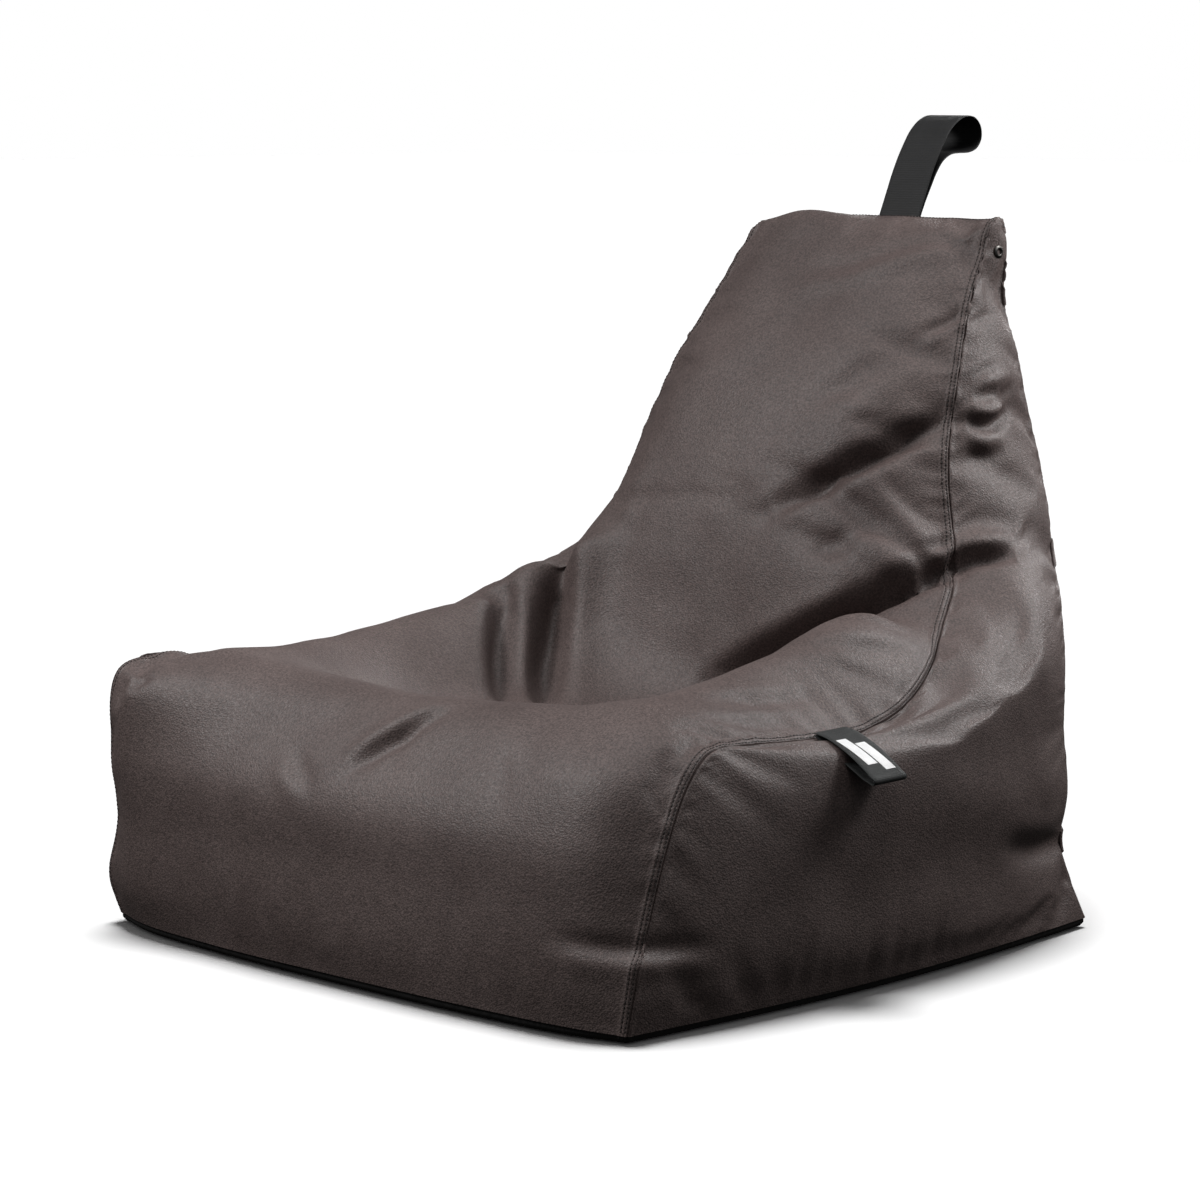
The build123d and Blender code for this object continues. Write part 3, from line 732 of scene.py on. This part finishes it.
# ---------- straps
def ribbon(name, path, half_width, thickness, wide_axis, columns):
    """A flat strap with rounded edges along a path, wide along wide_axis."""
    path, wide = np.array(path, float), np.array(wide_axis, float)
    out = unit(np.cross(unit(np.gradient(path, axis=0)), wide))
    half = thickness / 2
    section = [(s, half) for s in np.linspace(-1, 1, columns)]
    section += [(1.0, 0.0)] + [(s, -half) for s in np.linspace(1, -1, columns)] + [(-1.0, 0.0)]
    vertices = []
    for place, normal in zip(path, out):
        for s, lift in section:
            edge = abs(s) == 1.0 and lift != 0.0
            reach = s * (half_width - (half * 0.6 if edge else 0))
            vertices.append(place + wide * reach + normal * lift * (0.75 if edge else 1))
    faces = ring_faces(len(path), len(section)) + end_faces(len(path), len(section))
    return new_object(name, vertices, faces)


# Outline of the strap's loop in the YZ plane, millimetres from the line it flexes about.
HANDLE_ROOT = (0.532, 0.8183)
HANDLE_LOOP = [
    (-1.3, 0), (4.5, 18), (12.5, 42), (24.5, 70), (41, 98), (57, 119), (73, 131), (92, 136.5), (107, 133),
    (116.5, 122), (117.5, 108), (110, 97), (96, 91.5), (76, 90.5), (58, 88.5), (44, 81), (31, 66), (20.5, 48),
    (11.5, 28), (5.5, 12), (1.3, 0),
]
HANDLE_STRETCH = 1.05  # the loop reaches back by this much more
HANDLE_LEAN, HANDLE_LEAN_TOP = 0.12, 0.05  # and its root leans back, up to this height
HANDLE_OFFSET = 0.020  # sewn a little off the middle
WEBBING_HALF_WIDTH = 0.0325
WEBBING_THICKNESS = 0.0019


def build_handle(look):
    """The free loop of webbing, without its body."""
    points = []
    for y, z in np.array(HANDLE_LOOP) / 1000:
        back = y * HANDLE_STRETCH + min(z, HANDLE_LEAN_TOP) * HANDLE_LEAN
        points.append((HANDLE_OFFSET, HANDLE_ROOT[0] + back, HANDLE_ROOT[1] + z))
    path = smooth_through(points, knots_of(points), np.linspace(0, 1, 150))
    strap = ribbon("handle_webbing", path, WEBBING_HALF_WIDTH, WEBBING_THICKNESS, (1, 0, 0), 18)
    return finished(strap, "webbing", look, "handle_strap", body=None)


# The folded label's outline, millimetres out from the seam and down.
LABEL_SEAM = (0.4085, -0.055, 0.2895)
LABEL_HALF_WIDTH = 0.0275
LABEL_TOP = [(0, 1.2), (16, -2.0), (38, -10.8), (60.5, -23.5), (79, -36.5), (86.5, -42.5)]
LABEL_UNDER = [(85.5, -45.5), (75.5, -43.5), (56, -33.5), (35.5, -22), (14, -9.5), (0, -1.2)]
# The mark's bars: first and last step along the label, and left and right edge across it.
MARK_BARS = [(12, 33, -0.018, -0.002), (17, 38, 0.002, 0.018)]
MARK_SLANT, MARK_LOW, MARK_HIGH = 0.006, 0.0002, 0.0008
MARK_COLUMNS = 5


def build_label(cloth, yarn):
    """A woven strip folded in half, sewn into the arm seam by both ends, with a made-up mark of two bars."""
    x, y, z = LABEL_SEAM
    outline = np.array([(x + reach, y, z + drop) for reach, drop in np.array(LABEL_TOP + LABEL_UNDER) / 1000])
    path = smooth_through(outline, knots_of(outline), np.linspace(0, 1, 90))
    strip = ribbon("side_label_strip", path, LABEL_HALF_WIDTH, 0.0009, (0, 1, 0), 10)
    finished(strip, "label_fabric", cloth, "side_label", body=None)
    out = np.cross(unit(np.gradient(path, axis=0)), (0, 1, 0))
    vertices, faces, count = [], [], 2 * MARK_COLUMNS
    for start, end, left, right in MARK_BARS:
        base, steps = len(vertices), end - start
        across = np.linspace(left, right, MARK_COLUMNS)
        ring = [(s, MARK_LOW) for s in across] + [(s, MARK_HIGH) for s in across[::-1]]
        for i in range(steps + 1):
            slant = MARK_SLANT * (i / steps - 0.5)
            for s, lift in ring:
                vertices.append(path[start + i] + np.array([0, s + slant, 0]) + out[start + i] * lift)
        faces += [face[::-1] for face in ring_faces(steps + 1, count, base)]
        last = base + steps * count
        for j in range(MARK_COLUMNS - 1):
            cap = (j, j + 1, count - 2 - j, count - 1 - j)
            faces += [tuple(base + k for k in cap), tuple(last + k for k in reversed(cap))]
    bars = new_object("side_label_mark", vertices, faces, False)
    return strip, finished(bars, "label_fabric", yarn, body=None)


EYELET_PLACE = (0.520, 0.790)  # y, z on each side panel
# Radius and height above the cloth, millimetres: barrel, rolled rim, flange and underside.
EYELET_PROFILE = [
    (3.6, -4), (3.6, 0.6), (4, 1.3), (4.8, 1.6), (6, 1.3), (7.4, 0.7), (8.1, 0.1), (8, -0.4), (6, 0.2),
    (4.6, 0.2), (4.5, -4),
]
EYELET_LIFT = 0.0004


def build_eyelet(name, place, normal):
    """A rolled eyelet pressed through the side panel, turned about its axis."""
    axis = Vector(normal).normalized()
    turn = axis.to_track_quat("Z", "Y")
    steps, count, vertices = 40, len(EYELET_PROFILE), []
    for k in range(steps):
        angle = 2 * math.pi * k / steps
        for radius, lift in np.array(EYELET_PROFILE) / 1000:
            spot = Vector((radius * math.cos(angle), radius * math.sin(angle), lift + EYELET_LIFT))
            vertices.append(Vector(place) + turn @ spot)
    faces = [tuple(k % len(vertices) for k in reversed(face)) for face in ring_faces(steps + 1, count)]
    return new_object(name, vertices, faces)


# ---------- build the cover
points, panels = build_bag(1)
rough_points, rough_panels = build_bag(STRIDE)
swell = inflate(rough_points, rough_panels) * slackness(rough_points)[:, None]
points = points + spread_shift(swell, rough_panels, panels, len(points))
rough_points = rough_points + swell
normals = normals_of(points, panels)
points = points + normals * (unevenness(points) * slackness(points))[:, None]
every_face = [f for panel in panels.values() for f in panel["faces"]]
tree = BVHTree.FromPolygons([tuple(p) for p in points], every_face)
for grid in ((points, panels), (rough_points, rough_panels)):
    grid_normals, start = normals_of(*grid), grid[0].copy()
    for fold in FOLDS:
        near, shift = fold_shift(start, grid_normals, tree, *fold)
        grid[0][near] += shift
normals = normals_of(points, panels)
lift = np.zeros(len(points))
for name, panel in panels.items():
    share = np.linspace(0, 1, panel["shape"][0])
    height = seam_profile(panel["ends"], raised=name in STRIPS)
    height = height + pucker_profile(panel["ends"], share if name in STRIPS else share * 0.5)
    lift[panel["index"].ravel()] = height.ravel()
points = points + normals * lift[:, None]
normals = normals_of(points, panels)

LEATHER = leatherette()
BLACK_CLOTH = woven("base_cloth", 0.006, (0.022, 0.021, 0.021), 0.0009)
LINER_CLOTH = woven("liner_cloth", (0.030, 0.029, 0.029), (0.060, 0.058, 0.057), 0.0007)
PANEL_PIECES = {
    "front": ("cover_seat_and_front", "seat_panel"),
    "near": ("cover_left_side", "left_side_panel"),
    "far": ("cover_right_side", "right_side_panel"),
}
for name, (piece, node) in PANEL_PIECES.items():
    obj = part_of(piece, points, panels[name]["faces"])
    finished(obj, "cover_leatherette", LEATHER, node)

# ---------- the rear cover, cut for its zip
ZIP_Y, ZIP_Z, ZIP_HALF_HEIGHT, ZIP_HALF_LENGTH = 0.393, 0.078, 0.0092, 0.302
COVER_THICKNESS = 0.0014


def cut_window(obj):
    """Cuts the zip's window through the lower rear."""
    work = bmesh.new()
    work.from_mesh(obj.data)
    sides = [(0, ZIP_HALF_LENGTH), (0, -ZIP_HALF_LENGTH)]
    for axis, value in sides + [(2, ZIP_Z - ZIP_HALF_HEIGHT), (2, ZIP_Z + ZIP_HALF_HEIGHT)]:
        close = [f for f in work.faces if abs(f.calc_center_median().z - ZIP_Z) < 0.03]
        corners, edges = {v for f in close for v in f.verts}, {e for f in close for e in f.edges}
        parts = [*corners, *edges, *close]
        place, normal = [0, 0, 0], [0, 0, 0]
        place[axis], normal[axis] = value, 1
        bmesh.ops.bisect_plane(work, geom=parts, plane_co=place, plane_no=normal, dist=1e-6)
    gone = []
    for face in work.faces:
        middle = face.calc_center_median()
        if abs(middle.x) < ZIP_HALF_LENGTH and abs(middle.z - ZIP_Z) < ZIP_HALF_HEIGHT:
            gone.append(face)
    bmesh.ops.delete(work, geom=gone, context="FACES")
    work.to_mesh(obj.data)
    work.free()


rear = part_of("cover_rear", points, panels["rear"]["faces"])
cut_window(rear)
thick = rear.modifiers.new("thickness", "SOLIDIFY")
thick.thickness = COVER_THICKNESS
thick.offset = -1
finished(rear, "cover_leatherette", LEATHER, "rear_panel_upper", "rear_panel_lower")

# ---------- topstitching
THREAD = woven("bonded_thread", (0.010, 0.008, 0.008), (0.030, 0.025, 0.023), 0.0004, 0.5)
for strip, label in (("front", "seat"), ("rear", "rear")):
    for end, side in ((-1, "left"), (0, "right")):
        lines = [line_beside_seam(points, normals, panels[strip], end, row / 1000) for row in STITCH_ROWS]
        stitches = thread(f"topstitching_{label}_{side}", lines)
        finished(stitches, "cover_leatherette", THREAD)

top_lines = [line_below_top(points, normals, panels["front"]["index"][[-1, -2]], 0.35)]
top_lines.append(line_below_top(points, normals, panels["rear"]["index"][[0, 1]], 0.5))
finished(thread("topstitching_top", top_lines), "cover_leatherette", THREAD)

# ---------- liner, beads and base
LINER_GAP, FILL_GAP = 0.007, 0.014  # inside the cover
DEEPEST = 0.020  # the most that an inner layer moves in past its gap
CLOSE, TOO_CLOSE = 0.7, 0.4  # shares of the gap: moved further in, and evened out with its neighbours
cover_tree = BVHTree.FromPolygons([tuple(p) for p in points], every_face)
rough_faces = [f for panel in rough_panels.values() for f in panel["faces"]]
rough_edges = {tuple(sorted(pair)) for face in rough_faces for pair in zip(face, face[1:] + face[:1])}
rough_edges = np.array(sorted(rough_edges))


def beside(field):
    """Each rough point's mean of its neighbours' values."""
    total, count = np.zeros_like(field), np.zeros(len(field))
    for a, b in (rough_edges.T, rough_edges[:, ::-1].T):
        np.add.at(total, a, field[b])
        np.add.at(count, a, 1)
    return total / np.maximum(count, 1).reshape((-1,) + (1,) * (field.ndim - 1))


rough_normals = normals_of(rough_points, rough_panels)
for _ in range(8):
    rough_normals = unit(rough_normals + beside(rough_normals))


def depth_at(place):
    """How far inside the cover a place is, less than 0 outside it."""
    near, normal, _, distance = cover_tree.find_nearest(Vector(place))
    return math.copysign(distance, (near - Vector(place)).dot(normal))


def inner_shell(gap):
    """The rough grids moved in by gap, further around a fold, and evened out where a seam is in the way."""
    depth = np.array([depth_at(place) for place in rough_points - rough_normals * gap])
    more = np.where(depth < CLOSE * gap, np.minimum(gap - depth, DEEPEST), 0)
    for _ in range(4):
        more = np.maximum(more, beside(more))
    inner = rough_points - rough_normals * (gap + more)[:, None]
    for _ in range(3):
        stuck = np.array([float(depth_at(place) < TOO_CLOSE * gap) for place in inner])
        stuck = beside(stuck) + stuck > 0
        for _ in range(30):
            inner[stuck] = beside(inner)[stuck]
    inner[:, 2] = np.maximum(inner[:, 2], gap + 0.001)
    # Clear of the zip slider's back, all along its travel.
    behind_zip = (np.abs(inner[:, 0]) < ZIP_HALF_LENGTH + 0.02) & (np.abs(inner[:, 2] - ZIP_Z) < 0.018)
    inner[:, 1] = np.where(behind_zip, np.minimum(inner[:, 1], ZIP_Y - gap), inner[:, 1])
    return inner


LINER_PIECES = {
    "front": "liner_seat", "rear": "liner_rear", "near": "liner_left_side", "far": "liner_right_side",
}
liner_points = inner_shell(LINER_GAP)
for name, piece in LINER_PIECES.items():
    obj = part_of(piece, liner_points, rough_panels[name]["faces"])
    finished(obj, "liner_fabric", LINER_CLOTH, piece + "_panel")


def pan(name, rim, rings, bottom_z):
    """A pan of cloth: rings given as (inset towards the middle, height or None to keep the rim's)."""
    flat = rim * (1, 1, 0)
    reach = np.linalg.norm(flat, axis=1, keepdims=True)
    vertices = []
    for inset, height in rings:
        ring = flat * (1 - inset / reach)
        ring[:, 2] = rim[:, 2] if height is None else height
        vertices.append(ring)
    for share in (0.8, 0.6, 0.4, 0.2):
        ring = flat * (1 - rings[-1][0] / reach) * share
        ring[:, 2] = bottom_z
        vertices.append(ring)
    count, levels = len(rim), len(vertices)
    vertices = np.concatenate(vertices + [np.array([[0, 0, bottom_z]])])
    faces = [face[::-1] for face in ring_faces(levels, count)]
    hub, last = levels * count, (levels - 1) * count
    faces += [(last + k, hub, last + (k + 1) % count) for k in range(count)]
    return new_object(name, vertices, faces)


base_rings = [(0.006, 0.020), (0.002, 0.0125), (0.002, 0.007), (0.006, 0.0025), (0.016, 0.0008)]
base = pan("base_cloth", points[hem_loop(panels)], base_rings, 0.0006)
finished(base, "base_fabric", BLACK_CLOTH, "base_panel")
liner_rim = hem_loop(rough_panels)
liner_rings = [(0.001, None), (0.006, 0.0095), (0.02, 0.0075)]
liner_base = pan("liner_base", liner_points[liner_rim], liner_rings, 0.0072)
finished(liner_base, "liner_fabric", LINER_CLOTH, "liner_base_panel")

fill_points = np.vstack([inner_shell(FILL_GAP), [[0, 0, 0.013]]])
underside = hub_faces(liner_rim, len(fill_points) - 1)
fill = part_of("bead_filling", fill_points, rough_faces + underside)
finished(fill, "foam_beads", foam(), "bead_fill")

# ---------- handle, label, eyelets
WEBBING = woven("webbing", 0.005, (0.016, 0.016, 0.017), 0.0014, 0.6, 0.0005)
strap = build_handle(WEBBING)
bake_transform(strap)

LABEL_CLOTH = woven("label_cloth", (0.009, 0.010, 0.010), (0.022, 0.024, 0.024), 0.0006, 0.7)
WHITE_YARN = woven("white_yarn", 0.70, 0.88, 0.0006, 0.7)
label_strip, label_mark = build_label(LABEL_CLOTH, WHITE_YARN)
for piece in (label_strip, label_mark):
    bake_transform(piece)

EYELET_METAL = metal("eyelet_metal", (0.10, 0.095, 0.09), 0.38)
for name, side in (("eyelet_left", 1), ("eyelet_right", -1)):
    hit, normal, _, _ = cover_tree.ray_cast(Vector((side * 0.4, *EYELET_PLACE)), Vector((-side, 0, 0)))
    ring = build_eyelet(name, hit, normal)
    replaced = ("breather_eyelets", "eyelet_washers") if side == 1 else ()
    finished(ring, "eyelet_metal", EYELET_METAL, *replaced)

# ---------- carried-over CAD nodes
ZIP_TAPE = woven("zip_tape", (0.010, 0.009, 0.009), (0.030, 0.026, 0.025), 0.0006, 0.7)
TEETH = moulded("zip_teeth", (0.020, 0.017, 0.016), (0.040, 0.034, 0.032), 0.35)
LINER_ZIP = moulded("liner_zip", (0.60, 0.60, 0.58), (0.78, 0.78, 0.76), 0.45)
SLIDER = metal("slider_metal", (0.42, 0.41, 0.40), 0.32)
CARE = woven("care_label", (0.70, 0.70, 0.68), (0.85, 0.85, 0.83), 0.0005, 0.6)
NODE_LOOKS = [
    (LEATHER, ["zip_garage"]),
    (WEBBING, ["handle_tails"]),
    (BLACK_CLOTH, ["handle_backing_patch"]),
    (CARE, ["care_label"]),
    (ZIP_TAPE, ["cover_zip_tape_upper", "cover_zip_tape_lower"]),
    (TEETH, ["cover_zip_teeth", "cover_zip_stops"]),
    (SLIDER, ["cover_zip_slider", "liner_zip_slider"]),
    (LINER_CLOTH, ["liner_zip_tape_upper", "liner_zip_tape_lower"]),
    (LINER_ZIP, ["liner_zip_teeth", "liner_zip_stops"]),
]
for look, names in NODE_LOOKS:
    for name in names:
        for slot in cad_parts[name].material_slots:
            slot.material = look


# ---------- stage, lights, camera
def lit(name, kind, place, target, energy, receivers):
    """Adds a light aimed at a target; it lights only what its receivers' collection lets it."""
    light = bpy.data.lights.new(name, kind)
    light.energy = energy
    lamp = bpy.data.objects.new(name, light)
    lamp.location = place
    lamp.rotation_euler = (Vector(target) - Vector(place)).to_track_quat("-Z", "Y").to_euler()
    lamp.light_linking.receiver_collection = receivers
    SCENE.collection.objects.link(lamp)
    return light


# Place, target, width and height, and power.
SOFTBOXES = {
    "front": ((-1.2, -1.85, 2.5), (0, 0, 0.3), (1.1, 0.9), 62),
    "side": ((1.1, 1.4, 1.75), (0.2, 0.2, 0.45), (0.8, 0.8), 35),
    "rear": ((-0.6, 2.7, 1.7), (0, 0.4, 0.4), (1.2, 1.0), 45),
}
ZENITH, NADIR = 0.13, 0.03  # how bright the room is above and below


def build_stage():
    """A white floor and room, lit apart from the bag: the floor stays white and the bag keeps its shades."""
    corners = [(-40, -40, 0), (40, -40, 0), (40, 40, 0), (-40, 40, 0)]
    floor = new_object("floor", corners, [(0, 1, 2, 3)], False)
    white = material("floor_white", 0.9, Base_Color=(0.95, 0.95, 0.95, 1), Specular_IOR_Level=0.1)[0]
    floor.data.materials.append(white)
    floor.visible_diffuse = floor.visible_glossy = False
    floor_only, bag_only = (bpy.data.collections.new(name) for name in ("floor_only", "bag_only"))
    for receivers, state in ((floor_only, "INCLUDE"), (bag_only, "EXCLUDE")):
        receivers.objects.link(floor)
        receivers.collection_objects[0].light_linking.link_state = state
    world = bpy.data.worlds.new("studio")
    world.use_nodes = True
    tree = world.node_tree
    coords = tree.nodes.new("ShaderNodeTexCoord")
    split = tree.nodes.new("ShaderNodeSeparateXYZ")
    tree.links.new(coords.outputs["Generated"], split.inputs["Vector"])
    height = tree.nodes.new("ShaderNodeMapRange")
    height.inputs["From Min"].default_value = -1
    tree.links.new(split.outputs["Z"], height.inputs["Value"])
    sky = ramp(tree, height.outputs["Result"], (0.4, NADIR), (0.6, ZENITH))
    seen = tree.nodes.new("ShaderNodeLightPath").outputs["Is Camera Ray"]
    backdrop = mixed(tree, sky, (1, 1, 1, 1), seen, "MIX")
    tree.links.new(backdrop, tree.nodes["Background"].inputs["Color"])
    SCENE.world = world
    SCENE.view_settings.view_transform = "Standard"
    lit("floor_light", "SUN", (-0.14, 0.14, 1), (0, 0, 0), 3.3, floor_only).angle = math.radians(20)
    lit("overhead", "SUN", (0, -0.15, 1), (0, 0, 0), 1.25, bag_only).angle = math.radians(45)
    for name, (place, target, size, power) in SOFTBOXES.items():
        light = lit(name, "AREA", place, target, power, bag_only)
        light.shape = "RECTANGLE"
        light.size, light.size_y = size


CAMERA_AZIMUTH, CAMERA_ELEVATION = math.radians(43.6), math.radians(7.9)
CAMERA_DISTANCE = 4.33
CAMERA_TARGET = Vector((0.007, 0, 0.391))


def build_camera():
    data = bpy.data.cameras.new("camera")
    data.lens, data.sensor_width = 110, 36
    camera = bpy.data.objects.new("camera", data)
    level, rise = math.cos(CAMERA_ELEVATION), math.sin(CAMERA_ELEVATION)
    back = Vector((math.sin(CAMERA_AZIMUTH) * level, -math.cos(CAMERA_AZIMUTH) * level, rise))
    camera.location = CAMERA_TARGET + back * CAMERA_DISTANCE
    camera.rotation_euler = (-back).to_track_quat("-Z", "Y").to_euler()
    SCENE.collection.objects.link(camera)
    SCENE.camera = camera


build_stage()
build_camera()
